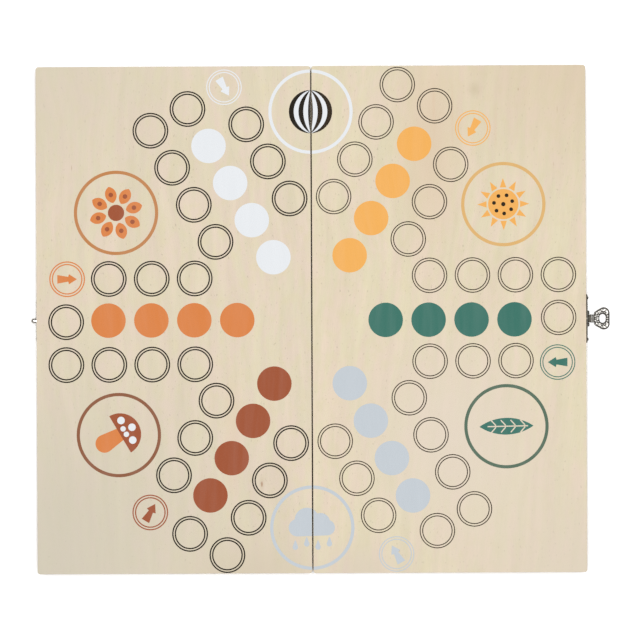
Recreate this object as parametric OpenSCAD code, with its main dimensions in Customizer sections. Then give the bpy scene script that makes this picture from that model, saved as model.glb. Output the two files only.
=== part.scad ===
// Folding board box for a six-player track game.
// Two shallow wooden trays, hinged rim to rim, drawn laid open with both printed faces up.
// Millimetres, +Z up, the fold runs along Y. The origin is under the middle of the whole object.

/* [Board halves] */
// Width of one half, across the fold
half_w = 162; // [158:1:200]
// Length of one half, along the fold
half_l = 300; // [298:1:400]
// Gap between the halves when laid open
fold_gap = 1.2; // [0.8:0.1:2]
// Rounding of the outer corners, in plan
corner_r = 1.5; // [0.5:0.1:3]
// Thickness of the printed panel
panel_t = 3; // [2:0.5:6]

/* [Tray walls] */
// Thickness of the tray walls
wall_t = 8; // [7.5:0.5:12]
// Height of the tray walls
wall_h = 19; // [16:1:40]
// Layers of fingers at a corner joint, an odd number
finger_layers = 3; // [3:2:5]
// Gap left between the two rims when the box is shut
parting = 0.2; // [0.1:0.05:0.5]

/* [Hinges] */
// Length of a hinge, along the fold
hinge_l = 25; // [18:1:40]
// Distance of each hinge from the middle of the fold
hinge_y = 85; // [40:1:120]
// Width of a hinge leaf, from the pin's axis
leaf_w = 7; // [6:0.1:7.4]
// Thickness of a hinge leaf
leaf_t = 0.8; // [0.6:0.1:1]
// Outer radius of the hinge knuckles
knuckle_r = 1.2; // [1.1:0.05:1.4]
// Radius of the hinge pin
hinge_pin_r = 0.6; // [0.4:0.05:0.7]
// Knuckles on a hinge, an odd number
knuckle_count = 5; // [3:2:7]
// Distance between the two screws of a leaf
screw_pitch = 15; // [10:1:18]
// Radius of a screw's countersunk head
screw_head_r = 1.7; // [1.4:0.1:2]
// Radius of a screw's shank
screw_r = 0.9; // [0.6:0.1:1.1]
// Length of a screw
screw_l = 9; // [6:0.5:12]

/* [Hasp on the right half] */
// Height of the hasp's pin above the rim
hasp_h = 2.4; // [2:0.1:4]
// Distance of the hasp's pin from the wall's face
hasp_off = 1.3; // [1.2:0.05:1.6]
// Outer radius of the hasp's knuckles
hasp_knuckle_r = 1.1; // [0.9:0.05:1.15]
// Radius of the hasp's pin
hasp_pin_r = 0.5; // [0.4:0.05:0.6]
// Width over all the hasp's knuckles
hasp_knuckle_l = 9.2; // [8:0.1:12]
// Thickness of the hasp's plate
hasp_plate_t = 0.7; // [0.5:0.05:0.8]
// Distance of each nail from the plate's middle
hasp_nail_y = 12.3; // [10:0.1:16]
// Height of the nails above the hasp's pin
hasp_nail_z = 3.2; // [3:0.1:5]
// Radius of the plate's end lobes, round the nails
hasp_lobe_r = 2.3; // [1.8:0.1:2.6]
// Radius of the plate's middle field
hasp_field_r = 4.2; // [3.5:0.1:5]
// Height of the plate's middle field above the pin
hasp_field_z = 4.6; // [4:0.1:6]
// Radius of the plate's top lobe
hasp_top_r = 2.4; // [1.5:0.1:3]
// Height of the plate's top lobe above the pin
hasp_top_z = 9.4; // [8:0.1:12]

/* [Tongue of the hasp] */
// Length of the tongue from its pin
tongue_l = 13.6; // [12.5:0.1:16]
// Thickness of the tongue
tongue_t = 0.8; // [0.6:0.05:0.9]
// Width of the tongue's neck, also its knuckle
neck_w = 4.6; // [3.6:0.1:5.2]
// Radius of the tongue's two outer lobes
lobe_r = 3.5; // [3:0.1:4]
// Distance of each outer lobe from the tongue's middle
lobe_y = 3.1; // [2.5:0.1:3.5]
// Radius of the two lobes beside the neck
shoulder_r = 1.5; // [1:0.1:2]
// Distance of the neck's lobes from the pin
shoulder_l = 5.8; // [5:0.1:6.2]
// Distance of each neck lobe from the tongue's middle
shoulder_y = 2.9; // [1.8:0.1:3]
// Distance of the slot from the pin
slot_l = 9.3; // [8.8:0.1:9.6]
// Size of the slot, along the tongue
slot_d = 4.1; // [3.9:0.1:4.4]
// Size of the slot, across the tongue
slot_w = 5.3; // [4.8:0.1:6]
// Width of the raised collar round the slot
collar_w = 0.6; // [0.3:0.05:0.8]
// Height of the raised collar and beads
relief_t = 0.35; // [0.2:0.05:0.4]
// Radius of a bead on the tongue's border
bead_r = 0.45; // [0.3:0.05:0.5]
// Distance of the beads from the tongue's edge
bead_inset = 0.2; // [0.1:0.05:0.4]

/* [Catch on the left half] */
// Radius of the catch's nub
nub_r = 1.65; // [1.3:0.05:1.7]
// How far the nub stands out of the wall
nub_l = 3.8; // [3.2:0.1:4.5]
// Thickness of the catch's plate
catch_plate_t = 0.5; // [0.3:0.05:0.6]
// Distance of each nail from the nub
catch_nail_y = 10.6; // [9.6:0.1:14]
// Radius of the catch plate's middle
catch_field_r = 3.8; // [3:0.1:5]
// Radius of the catch plate's end lobes
catch_lobe_r = 1.9; // [1.6:0.1:2.4]

/* [Nails] */
// Radius of a nail's domed head
nail_head_r = 1.2; // [0.9:0.1:1.6]
// Height of a hasp nail's head
hasp_head_t = 1.2; // [0.8:0.1:1.4]
// Height of a catch nail's head
catch_head_t = 0.6; // [0.4:0.1:0.8]
// Radius of a nail's shank
nail_r = 0.6; // [0.4:0.05:0.8]
// Length of a nail's shank
nail_l = 6.5; // [5:0.5:7]

/* [Clearances] */
// Radial clearance of a pin in its knuckles
pin_clear = 0.05; // [0.01:0.01:0.1]
// Gap between two knuckles, along the pin
knuckle_gap = 0.2; // [0.1:0.05:0.4]
// Clearance of a knuckle in the wood or plate beside it
knuckle_clear = 0.2; // [0.15:0.05:0.3]
// Clearance round a hinge leaf in its mortise
leaf_clear = 0.1; // [0.05:0.05:0.3]
// Radial clearance of a screw or nail in its hole
nail_clear = 0.03; // [0.01:0.01:0.1]

/* [Printed track] */
// Distance between neighbouring fields
pitch = 25.4; // [24:0.1:25.6]
// Distance of the innermost home field from the board's centre
first_field = 43.5; // [40:0.1:44]
// Radius of a filled home field
home_r = 10.2; // [8:0.1:10.8]
// Radius of a track ring's outer line
ring_r = 10.2; // [9:0.1:10.4]
// Distance between the two lines of a ring
ring_step = 1.5; // [1.2:0.1:3]
// Width of a ring's lines
line_w = 0.6; // [0.3:0.05:1]
// Length of a start arrow
arrow_l = 11.6; // [8:0.1:12]
// Width of a start arrow's head
arrow_head_w = 6; // [4:0.1:7]
// Length of a start arrow's head
arrow_head_l = 4.7; // [3:0.1:6]
// Width of a start arrow's neck
arrow_neck_w = 2.8; // [1.5:0.1:3]
// Width of a start arrow's tail
arrow_tail_w = 5.1; // [3:0.1:6]
// Thickness of the printed ink
ink_t = 0.05; // [0.03:0.01:0.1]

/* [Printed medallions] */
// Radius of a medallion's ring, at the middle of its line
medal_r = 24; // [18:0.1:24.5]
// Width of a medallion's ring line
medal_line_w = 1.9; // [1:0.1:2.5]
// Distance of the four side medallions from the centre
medal_side = 131.7; // [128:0.1:134]
// Gap between a medallion on the fold and the board's edge
medal_margin = 2; // [1:0.1:6]
// Radius of the picture inside a medallion
motif_r = 16; // [12:0.1:18]

/* [Hidden] */
$fn = 96;

WOOD = [0.86, 0.80, 0.71];
PLY = [0.88, 0.83, 0.74];
STEEL = [0.36, 0.31, 0.24];
NICKEL = [0.42, 0.41, 0.38];
INK_BLACK = [0.13, 0.11, 0.08];
INK_WHITE = [0.93, 0.94, 0.95];
INK_ORANGE = [0.88, 0.55, 0.32];
INK_BROWN = [0.66, 0.37, 0.26];
INK_GREY = [0.77, 0.81, 0.83];
INK_YELLOW = [0.96, 0.71, 0.38];
INK_GREEN = [0.27, 0.48, 0.43];

LEFT = -1;
RIGHT = 1;

// Heights, measured from the axis of the fold's pins
rim_z = parting / 2;
panel_z = rim_z + wall_h;
top_z = panel_z + panel_t;
axis_z = knuckle_r;

// Distances from the fold, the same on both halves
inner_x = fold_gap / 2;
outer_x = inner_x + half_w;
hasp_x = outer_x + hasp_off;
hasp_z = rim_z + hasp_h;

// The tongue leans on the table with its tip
tongue_drop = asin((axis_z + hasp_z - tongue_t / 2) / tongue_l);
tongue_reach = tongue_l * cos(tongue_drop) + tongue_t / 2 * sin(tongue_drop);
lobe_l = tongue_l - lobe_r;

// The nub stands in the slot's middle when the box is shut
nub_z = slot_l - hasp_h - parting + rim_z;

// The origin lies under the middle of the whole object
right_reach = hasp_x + tongue_reach;
left_reach = outer_x + nub_l;
fold_x = (left_reach - right_reach) / 2;

finger_h = wall_h / finger_layers;
cut = 1;
screw_x = (knuckle_r + knuckle_clear + leaf_w) / 2;
screw_tip = screw_r;
drive_w = screw_r / 2;
drive_l = screw_head_r * 1.4;
drive_t = leaf_t * 0.6;
nail_tip = nail_r * 2;

// Fields of one arm: the home row, and the two rows beside it
home_fields = 4;
start_row = home_fields;
arm_step = 60;
LEFT_ARMS = [2, 3, 4];
RIGHT_ARMS = [0, 1, 5];
GREEN_ARM = 0;
YELLOW_ARM = 1;
WHITE_ARM = 2;
ORANGE_ARM = 3;
BROWN_ARM = 4;
GREY_ARM = 5;
medal_turn = 30;
medal_fold = half_l / 2 - medal_margin - medal_r - medal_line_w / 2;
bead_count = 4;
bead_start = 10;
bead_span = 90;

// Moves everything from the axis of the fold's pins to the object's own origin
module place() {
    translate([fold_x, 0, axis_z]) children();
}

// Every piece of a half is drawn for the right half and mirrored for the left one
module on_side(side) {
    if (side == RIGHT) children();
    if (side == LEFT) mirror([1, 0, 0]) children();
}

module rounded_rect(w, l, r) {
    translate([r, 0]) square([w - 2 * r, l]);
    translate([0, r]) square([w, l - 2 * r]);
    for (x = [r, w - r], y = [r, l - r]) translate([x, y]) circle(r);
}

// Two circles and the straight sides that touch both
module tapered_bar(a, ra, b, rb) {
    along = atan2(b[1] - a[1], b[0] - a[0]);
    spread = acos((ra - rb) / norm(b - a));
    translate(a) circle(ra);
    translate(b) circle(rb);
    polygon([
        for (turn = [spread, -spread]) a + ra * [cos(along + turn), sin(along + turn)],
        for (turn = [-spread, spread]) b + rb * [cos(along + turn), sin(along + turn)]
    ]);
}

// The common part of two circles: pointed at both ends, along Y
module lens(l, w) {
    r = (l * l + w * w) / (4 * w);
    intersection() {
        translate([r - w / 2, 0]) circle(r);
        translate([w / 2 - r, 0]) circle(r);
    }
}

// A cap of a sphere, standing on the XY plane
module dome(r, h) {
    ball_r = (r * r + h * h) / (2 * h);
    intersection() {
        translate([0, 0, h - ball_r]) sphere(ball_r);
        cylinder(h = h, r = r + cut);
    }
}

module along_y(r, l) {
    rotate([90, 0, 0]) cylinder(r = r, h = l, center = true);
}

// Panels and walls

module half_outline() {
    translate([inner_x, -half_l / 2]) rounded_rect(half_w, half_l, corner_r);
}

module panel(side) {
    place() on_side(side) translate([0, 0, panel_z]) linear_extrude(panel_t) half_outline();
}

// Keeps of a wall what lies inside the half's rounded outline
module trimmed_wall() {
    intersection() {
        translate([0, 0, rim_z]) linear_extrude(wall_h) half_outline();
        children();
    }
}

// The layers of a corner joint that the wall along the fold leaves to the end walls
module finger_gaps(x) {
    for (layer = [1 : 2 : finger_layers - 2], end = [-1, 1]) {
        translate([x - cut, end * (half_l / 2 - wall_t / 2 + cut / 2) - (wall_t + cut) / 2,
                   rim_z + layer * finger_h])
            cube([wall_t + 2 * cut, wall_t + cut, finger_h]);
    }
}

module long_wall(x) {
    trimmed_wall() difference() {
        translate([x, -half_l / 2, rim_z]) cube([wall_t, half_l, wall_h]);
        finger_gaps(x);
    }
}

module end_wall(side, end) {
    y = end * (half_l - wall_t) / 2 - wall_t / 2;
    place() on_side(side) trimmed_wall() union() {
        translate([inner_x + wall_t, y, rim_z]) cube([half_w - 2 * wall_t, wall_t, wall_h]);
        for (layer = [1 : 2 : finger_layers - 2])
            translate([inner_x, y, rim_z + layer * finger_h]) cube([half_w, wall_t, finger_h]);
    }
}

module seam_wall(side) {
    place() on_side(side) difference() {
        long_wall(inner_x);
        for (y = [-hinge_y, hinge_y]) translate([0, y, 0]) {
            leaf_mortise();
            at_screws() screw_shape(nail_clear);
        }
    }
}

module right_outer_wall() {
    place() difference() {
        long_wall(outer_x - wall_t);
        at_hasp_nails() nail_shape(nail_clear, hasp_head_t);
    }
}

module left_outer_wall() {
    place() on_side(LEFT) difference() {
        long_wall(outer_x - wall_t);
        at_catch_nails() nail_shape(nail_clear, catch_head_t);
    }
}

// Hinges

module leaf_mortise() {
    l = hinge_l + 2 * leaf_clear;
    translate([inner_x - cut, -l / 2, rim_z - cut])
        cube([leaf_w + leaf_clear - inner_x + cut, l, leaf_t + cut]);
    along_y(knuckle_r + knuckle_clear, l);
}

station_l = (hinge_l - (knuckle_count - 1) * knuckle_gap) / knuckle_count;

// The knuckles of one leaf: every second one along the pin
module at_knuckles(first) {
    for (i = [first : 2 : knuckle_count - 1])
        translate([0, (station_l + knuckle_gap) * i + station_l / 2 - hinge_l / 2, 0]) children();
}

module leaf(side, y) {
    first = side == LEFT ? 0 : 1;
    edge_x = knuckle_r + knuckle_clear;
    place() on_side(side) translate([0, y, 0]) difference() {
        union() {
            translate([edge_x, -hinge_l / 2, rim_z]) cube([leaf_w - edge_x, hinge_l, leaf_t]);
            at_knuckles(first) {
                along_y(knuckle_r, station_l);
                translate([0, -station_l / 2, rim_z]) cube([edge_x, station_l, leaf_t]);
            }
        }
        along_y(hinge_pin_r + pin_clear, hinge_l + 2 * cut);
        at_screws() screw_shape(nail_clear);
    }
}

module hinge_pin(y) {
    place() translate([0, y, 0]) along_y(hinge_pin_r, hinge_l);
}

module at_screws() {
    for (y = [-screw_pitch / 2, screw_pitch / 2]) translate([screw_x, y, rim_z]) children();
}

// A countersunk screw pointing up, its head flush with the leaf; fit widens it into its hole
module screw_shape(fit) {
    head_t = leaf_t;
    translate([0, 0, -fit]) cylinder(r1 = screw_head_r + fit, r2 = screw_r + fit, h = head_t + fit);
    cylinder(r = screw_r + fit, h = screw_l - screw_tip);
    translate([0, 0, screw_l - screw_tip])
        cylinder(r1 = screw_r + fit, r2 = screw_r / 3 + fit, h = screw_tip + fit);
}

module screw() {
    difference() {
        screw_shape(0);
        for (turn = [0, 90]) rotate(turn) translate([-drive_l / 2, -drive_w / 2, -cut])
            cube([drive_l, drive_w, drive_t + cut]);
    }
}

module hinge_screws(side) {
    place() on_side(side) for (y = [-hinge_y, hinge_y]) translate([0, y, 0]) at_screws() screw();
}

// Hasp, tongue and catch

// Turns a flat shape so that it lies on the outer wall: its X along the wall, its Y up
module on_wall(z) {
    translate([outer_x, 0, z]) rotate([90, 0, 90]) children();
}

module at_hasp_nails() {
    on_wall(hasp_z) for (y = [-hasp_nail_y, hasp_nail_y])
        translate([y, hasp_nail_z, hasp_plate_t]) children();
}

module at_catch_nails() {
    on_wall(nub_z) for (y = [-catch_nail_y, catch_nail_y])
        translate([y, 0, catch_plate_t]) children();
}

// A round-headed nail driven towards -Z from the plane under its head
module nail_shape(fit, head_t) {
    dome(nail_head_r + fit, head_t + fit);
    translate([0, 0, nail_tip - nail_l]) cylinder(r = nail_r + fit, h = nail_l - nail_tip);
    translate([0, 0, -nail_l - fit])
        cylinder(r1 = nail_r / 4 + fit, r2 = nail_r + fit, h = nail_tip + fit);
}

module hasp_nails() {
    place() at_hasp_nails() nail_shape(0, hasp_head_t);
}

module catch_nails() {
    place() on_side(LEFT) at_catch_nails() nail_shape(0, catch_head_t);
}

module hasp_outline() {
    for (side = [LEFT, RIGHT])
        tapered_bar([side * hasp_nail_y, hasp_nail_z], hasp_lobe_r, [0, hasp_field_z], hasp_field_r);
    tapered_bar([0, hasp_field_z], hasp_field_r, [0, hasp_top_z], hasp_top_r);
    translate([-hasp_knuckle_l / 2, 0]) square([hasp_knuckle_l, hasp_field_z]);
}

module hasp_plate() {
    place() difference() {
        union() {
            on_wall(hasp_z) linear_extrude(hasp_plate_t) hasp_outline();
            translate([hasp_x, 0, hasp_z]) along_y(hasp_knuckle_r, hasp_knuckle_l);
        }
        translate([hasp_x, 0, hasp_z]) {
            along_y(hasp_pin_r + pin_clear, hasp_knuckle_l + 2 * cut);
            along_y(hasp_knuckle_r + knuckle_clear, neck_w + 2 * knuckle_gap);
        }
        at_hasp_nails() nail_shape(nail_clear, hasp_head_t);
    }
}

module hasp_pin() {
    place() translate([hasp_x, 0, hasp_z]) along_y(hasp_pin_r, hasp_knuckle_l);
}

module slot_outline(border) {
    r = slot_d / 2 + border;
    y = (slot_w - slot_d) / 2;
    for (side = [-y, y]) translate([slot_l, side]) circle(r);
    translate([slot_l - r, -y]) square([2 * r, 2 * y]);
}

module tongue_outline() {
    translate([0, -neck_w / 2]) square([shoulder_l, neck_w]);
    for (side = [LEFT, RIGHT])
        tapered_bar([shoulder_l, side * shoulder_y], shoulder_r, [lobe_l, side * lobe_y], lobe_r);
    polygon([[shoulder_l - shoulder_r, -shoulder_y], [lobe_l + lobe_r, -lobe_y],
             [lobe_l + lobe_r, lobe_y], [shoulder_l - shoulder_r, shoulder_y]]);
}

// Beads on the rim of each outer lobe
module beads() {
    for (side = [LEFT, RIGHT], i = [0 : bead_count - 1])
        translate([lobe_l, side * lobe_y, tongue_t / 2])
            rotate(side * (bead_start + i * bead_span / (bead_count - 1)))
                translate([lobe_r - bead_r - bead_inset, 0, 0]) dome(bead_r, relief_t);
}

module hasp_tongue() {
    place() translate([hasp_x, 0, hasp_z]) rotate([0, tongue_drop, 0]) difference() {
        union() {
            along_y(hasp_knuckle_r, neck_w);
            translate([0, 0, -tongue_t / 2]) linear_extrude(tongue_t) tongue_outline();
            translate([0, 0, tongue_t / 2]) linear_extrude(relief_t) slot_outline(collar_w);
            beads();
        }
        translate([0, 0, -cut]) linear_extrude(tongue_t + relief_t + 2 * cut) slot_outline(0);
        along_y(hasp_pin_r + pin_clear, neck_w + 2 * cut);
    }
}

module catch_plate() {
    place() on_side(LEFT) difference() {
        on_wall(nub_z) {
            linear_extrude(catch_plate_t) for (side = [LEFT, RIGHT])
                tapered_bar([side * catch_nail_y, 0], catch_lobe_r, [0, 0], catch_field_r);
            cylinder(r = nub_r, h = nub_l - nub_r);
            translate([0, 0, nub_l - nub_r]) sphere(nub_r);
        }
        at_catch_nails() nail_shape(nail_clear, catch_head_t);
    }
}

// Printed track

module ink(layer = 0) {
    place() translate([0, 0, top_z + layer * ink_t]) linear_extrude(ink_t) children();
}

// Keeps what lies on one half of the board
module on_half(side) {
    intersection() {
        on_side(side) half_outline();
        children();
    }
}

// Field i of an arm counts outwards from the centre; lane is -1, 0 or 1
module at_field(arm, i, lane) {
    rotate(arm * arm_step) translate([first_field + i * pitch, lane * pitch]) children();
}

module line_circle(r, w) {
    difference() {
        circle(r + w / 2);
        circle(r - w / 2);
    }
}

module ring() {
    line_circle(ring_r, line_w);
    line_circle(ring_r - ring_step, line_w);
}

// The two side lanes and the arm's end, without the start field
module track(arms) {
    for (arm = arms) {
        for (i = [1 : start_row]) at_field(arm, i, 1) ring();
        for (i = [1 : start_row - 1]) at_field(arm, i, -1) ring();
        at_field(arm, start_row, 0) ring();
    }
}

module arrow() {
    tip = arrow_l / 2;
    head = tip - arrow_head_l;
    neck = head - arrow_neck_w / 6;
    polygon([[tip, 0], [head, arrow_head_w / 2], [neck, arrow_neck_w / 2], [-tip, arrow_tail_w / 2],
             [-tip, -arrow_tail_w / 2], [neck, -arrow_neck_w / 2], [head, -arrow_head_w / 2]]);
}

// The home row and the start field of one player
module player(arm) {
    for (i = [0 : home_fields - 1]) at_field(arm, i, 0) circle(home_r);
    at_field(arm, start_row, -1) {
        ring();
        rotate(180) arrow();
    }
}

// The medallions on the fold have their pictures upright for a player at the nearer edge
module at_fold_medal(end) {
    translate([0, end * medal_fold]) rotate(end > 0 ? 180 : 0) children();
}

module at_side_medal(side, end) {
    rotate(side == RIGHT ? end * medal_turn : 180 - end * medal_turn)
        translate([medal_side, 0]) rotate(90) children();
}

module medal() {
    line_circle(medal_r, medal_line_w);
}

// Pictures, each about motif_r in radius and drawn upright

petals = 8;
petal_l = motif_r * 0.62;
petal_w = motif_r * 0.42;
flower_eye_r = motif_r * 0.3;

module flower_petals() {
    for (i = [0 : petals - 1]) rotate(i * 360 / petals)
        translate([0, motif_r - petal_l / 2]) lens(petal_l, petal_w);
}

module flower_eye() {
    circle(flower_eye_r);
    for (i = [0 : petals - 1]) rotate(i * 360 / petals)
        translate([0, motif_r - petal_l / 2]) circle(petal_w / 5);
}

cap_r = motif_r * 0.78;
cap_y = motif_r * 0.05;
stem_w = motif_r * 0.24;
spot_r = motif_r * 0.1;

module toadstool_cap() {
    intersection() {
        translate([0, cap_y]) circle(cap_r);
        translate([-cap_r, cap_y]) square([2 * cap_r, cap_r]);
    }
}

module toadstool_stem() {
    difference() {
        tapered_bar([0, cap_y], stem_w, [0, stem_w * 1.6 - motif_r], stem_w * 1.4);
        toadstool_cap();
    }
}

module toadstool_spots() {
    for (turn = [35 : 55 : 145]) translate([0, cap_y]) rotate(turn)
        translate([cap_r * 0.66, 0]) circle(spot_r * 1.4);
    for (turn = [60, 120]) translate([0, cap_y]) rotate(turn)
        translate([cap_r * 0.3, 0]) circle(spot_r);
}

rays = 12;
sun_r = motif_r * 0.56;
ray_l = motif_r * 0.34;
ray_w = motif_r * 0.24;
sun_spots = 7;

module sun() {
    circle(sun_r);
    for (i = [0 : rays - 1]) rotate(i * 360 / rays)
        polygon([[sun_r + motif_r * 0.06, -ray_w / 2], [sun_r + motif_r * 0.06 + ray_l, 0],
                 [sun_r + motif_r * 0.06, ray_w / 2]]);
}

module sun_dots() {
    circle(motif_r * 0.08);
    for (i = [0 : sun_spots - 1]) rotate(i * 360 / sun_spots)
        translate([sun_r * 0.62, 0]) circle(motif_r * 0.07);
}

leaf_l = motif_r * 2;
leaf_broad = motif_r * 0.62;
vein_w = motif_r * 0.045;
veins = 4;

module leaf_picture() {
    difference() {
        lens(leaf_l, leaf_broad);
        translate([-vein_w / 2, -motif_r * 0.8]) square([vein_w, motif_r * 1.5]);
        for (i = [0 : veins - 1], side = [LEFT, RIGHT])
            translate([0, (i - veins / 2) * motif_r * 0.36]) rotate(90 - side * 48)
                translate([vein_w, -vein_w / 2]) square([leaf_broad * 0.42, vein_w]);
    }
}

ball_r = motif_r * 0.8;
ball_stripe_count = 5;
stripe_w = 2 * ball_r / (2 * ball_stripe_count - 1);
stripe_step = 4 * stripe_w;

module ball() {
    circle(ball_r);
}

// Curved stripes, as wide as the gaps between them, that meet at the ball's two poles
module ball_stripes() {
    lens(2 * ball_r, stripe_w);
    for (k = [1 : floor(ball_stripe_count / 2)]) difference() {
        lens(2 * ball_r, k * stripe_step + stripe_w);
        lens(2 * ball_r, k * stripe_step - stripe_w);
    }
}

puff_r = motif_r * 0.36;
drop_r = motif_r * 0.1;

module cloud() {
    tapered_bar([-motif_r * 0.55, 0], puff_r * 0.9, [motif_r * 0.55, 0], puff_r * 0.8);
    translate([-motif_r * 0.2, puff_r * 0.8]) circle(puff_r * 1.25);
    translate([motif_r * 0.3, puff_r * 0.5]) circle(puff_r);
}

module cloud_drops() {
    for (i = [0 : 3]) translate([(i - 1.5) * motif_r * 0.42, -motif_r * (i % 2 == 0 ? 0.72 : 0.6)])
        tapered_bar([0, 0], drop_r, [0, drop_r * 2.4], drop_r * 0.15);
}

// The ink of each colour, one film for each half

module left_print_black() {
    color(INK_BLACK) {
        ink() track(LEFT_ARMS);
        ink(1) on_half(LEFT) at_fold_medal(1) ball_stripes();
    }
}

module left_print_white() {
    color(INK_WHITE) {
        ink() player(WHITE_ARM);
        ink() on_half(LEFT) at_fold_medal(1) {
            medal();
            ball();
        }
        ink(1) at_side_medal(LEFT, -1) toadstool_spots();
    }
}

module left_print_orange() {
    color(INK_ORANGE) {
        ink() player(ORANGE_ARM);
        ink() at_side_medal(LEFT, 1) {
            medal();
            flower_petals();
        }
        ink() at_side_medal(LEFT, -1) toadstool_stem();
    }
}

module left_print_brown() {
    color(INK_BROWN) {
        ink() player(BROWN_ARM);
        ink() at_side_medal(LEFT, -1) {
            medal();
            toadstool_cap();
        }
        ink(1) at_side_medal(LEFT, 1) flower_eye();
    }
}

module fold_medal_grey(side) {
    color(INK_GREY) ink() on_half(side) at_fold_medal(-1) {
        medal();
        cloud();
        cloud_drops();
    }
}

module left_print_grey() {
    fold_medal_grey(LEFT);
}

module right_print_black() {
    color(INK_BLACK) {
        ink() track(RIGHT_ARMS);
        ink(1) on_half(RIGHT) at_fold_medal(1) ball_stripes();
        ink(1) at_side_medal(RIGHT, 1) sun_dots();
    }
}

module right_print_white() {
    color(INK_WHITE) ink() on_half(RIGHT) at_fold_medal(1) {
        medal();
        ball();
    }
}

module right_print_yellow() {
    color(INK_YELLOW) {
        ink() player(YELLOW_ARM);
        ink() at_side_medal(RIGHT, 1) {
            medal();
            sun();
        }
    }
}

module right_print_green() {
    color(INK_GREEN) {
        ink() player(GREEN_ARM);
        ink() at_side_medal(RIGHT, -1) {
            medal();
            rotate(30) leaf_picture();
        }
    }
}

module right_print_grey() {
    color(INK_GREY) ink() player(GREY_ARM);
    fold_medal_grey(RIGHT);
}

color(PLY) panel(LEFT);  // left_panel
color(WOOD) left_outer_wall();
color(WOOD) seam_wall(LEFT);  // left_seam_wall
color(WOOD) end_wall(LEFT, -1);  // left_front_wall
color(WOOD) end_wall(LEFT, 1);  // left_back_wall
color(PLY) panel(RIGHT);  // right_panel
color(WOOD) right_outer_wall();
color(WOOD) seam_wall(RIGHT);  // right_seam_wall
color(WOOD) end_wall(RIGHT, -1);  // right_front_wall
color(WOOD) end_wall(RIGHT, 1);  // right_back_wall
color(STEEL) leaf(LEFT, -hinge_y);  // front_hinge_left_leaf
color(STEEL) leaf(RIGHT, -hinge_y);  // front_hinge_right_leaf
color(STEEL) hinge_pin(-hinge_y);  // front_hinge_pin
color(STEEL) leaf(LEFT, hinge_y);  // back_hinge_left_leaf
color(STEEL) leaf(RIGHT, hinge_y);  // back_hinge_right_leaf
color(STEEL) hinge_pin(hinge_y);  // back_hinge_pin
color(STEEL) hinge_screws(LEFT);  // left_hinge_screws
color(STEEL) hinge_screws(RIGHT);  // right_hinge_screws
color(NICKEL) hasp_plate();
color(NICKEL) hasp_pin();
color(NICKEL) hasp_tongue();
color(NICKEL) hasp_nails();
color(NICKEL) catch_plate();
color(NICKEL) catch_nails();
left_print_black();
left_print_white();
left_print_orange();
left_print_brown();
left_print_grey();
right_print_black();
right_print_white();
right_print_yellow();
right_print_green();
right_print_grey();
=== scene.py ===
import math

import bpy
from mathutils import Matrix, Vector
from mathutils.geometry import delaunay_2d_cdt
from mathutils.kdtree import KDTree


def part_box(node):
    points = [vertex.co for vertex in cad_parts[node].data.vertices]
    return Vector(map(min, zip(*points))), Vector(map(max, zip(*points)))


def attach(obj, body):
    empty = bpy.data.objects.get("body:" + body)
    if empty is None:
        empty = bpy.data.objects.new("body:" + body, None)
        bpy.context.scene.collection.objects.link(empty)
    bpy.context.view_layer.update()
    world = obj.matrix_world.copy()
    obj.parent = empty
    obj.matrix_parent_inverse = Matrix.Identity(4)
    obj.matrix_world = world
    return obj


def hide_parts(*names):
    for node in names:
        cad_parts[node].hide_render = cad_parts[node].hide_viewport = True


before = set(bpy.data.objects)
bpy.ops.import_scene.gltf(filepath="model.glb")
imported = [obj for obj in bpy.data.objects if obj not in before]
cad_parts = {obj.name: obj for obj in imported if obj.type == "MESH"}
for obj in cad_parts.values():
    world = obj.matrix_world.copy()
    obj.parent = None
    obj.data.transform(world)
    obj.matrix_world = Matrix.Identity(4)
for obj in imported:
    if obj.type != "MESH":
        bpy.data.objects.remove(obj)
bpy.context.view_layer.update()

MM = 0.001
LEFT, RIGHT = -1, 1
HALF = {LEFT: "left", RIGHT: "right"}

# Places and sizes from the frame, in millimetres: the fold, the panels and the thickness of the ink
left_low, left_high = [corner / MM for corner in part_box("left_panel")]
right_low, right_high = [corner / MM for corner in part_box("right_panel")]
FOLD_X, INNER = (left_high.x + right_low.x) / 2, (right_low.x - left_high.x) / 2
TOP, UNDER = left_high.z, left_low.z
HALF_W, HALF_L = right_high.x - right_low.x, left_high.y * 2
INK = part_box("right_print_green")[1].z / MM - TOP
# Distance of each panel's edge from the fold's middle
# The left panel stands over its wall by a little, which narrows the gap
OVERHANG = 0.5
SEAM = {LEFT: INNER - OVERHANG, RIGHT: INNER}
# Radius of a panel's corners, and size of the rounding along the edges of panels and walls
CORNER, EDGE = 1.5, 0.25
# How much stronger the light is than the tones below are meant for: it keeps the floor white beside the box
LIGHT = 1.25

# Medallions: radius and width of their rings, and the distance of the two on the fold from the board's centre
MEDAL_R, MEDAL_LINE, MEDAL_FOLD = 24.0, 1.9, 123.05
# Each of the other four: the angle and the distance of its centre from the board's
MEDAL_AT = {"upper_left": (151.1, 131.7), "lower_left": (210.7, 132.8), "upper_right": (30.8, 132.5),
            "lower_right": (-28.9, 131.5)}


# Meshes

def add_mesh(name, verts, faces, body, material, replaces=(), smooth=False):
    """A mesh with its points in millimetres; it moves with a body and may stand for CAD nodes."""
    mesh = bpy.data.meshes.new(name)
    mesh.from_pydata([Vector(v) * MM for v in verts], [], faces)
    mesh.validate()
    mesh.materials.append(material)
    for face in mesh.polygons:
        face.use_smooth = smooth
    piece = bpy.data.objects.new(name, mesh)
    bpy.context.scene.collection.objects.link(piece)
    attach(piece, body)
    for node in replaces:
        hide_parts(node)
    return piece


def circle(x, y, r, n=72):
    return [(x + r * math.cos(2 * math.pi * i / n), y + r * math.sin(2 * math.pi * i / n)) for i in range(n)]


def rectangle(x0, y0, x1, y1):
    return [(x0, y0), (x1, y0), (x1, y1), (x0, y1)]


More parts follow.
